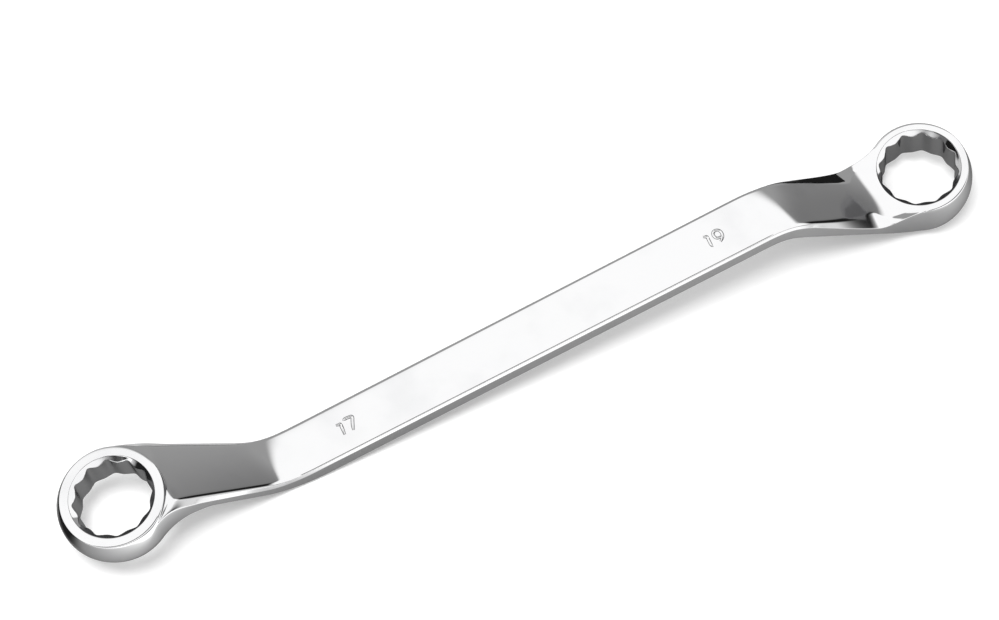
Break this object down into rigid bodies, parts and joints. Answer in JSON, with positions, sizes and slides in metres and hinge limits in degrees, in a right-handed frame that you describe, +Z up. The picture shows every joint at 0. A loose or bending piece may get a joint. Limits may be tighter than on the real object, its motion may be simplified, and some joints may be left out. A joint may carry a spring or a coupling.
{
  "type": "ring spanner",
  "caption": "Double-ended cranked ring spanner in mirror chrome, with barrel-walled twelve-point rings offset to opposite sides of a flat shank.",
  "frame": {"origin": "on the table, below the middle of the spanner's bounding box", "axes": "+X from the small ring to the large ring, +Y across the shank, +Z up from the table that the spanner lies on"},
  "size_m": [0.2806, 0.0292, 0.028],
  "materials": {
    "chrome": "polished chrome plate"
  },
  "bodies": {
    "root": {"ring_17": "chrome", "neck_17": "chrome", "shank": "chrome", "neck_19": "chrome", "ring_19": "chrome"}
  },
  "joints": []
}
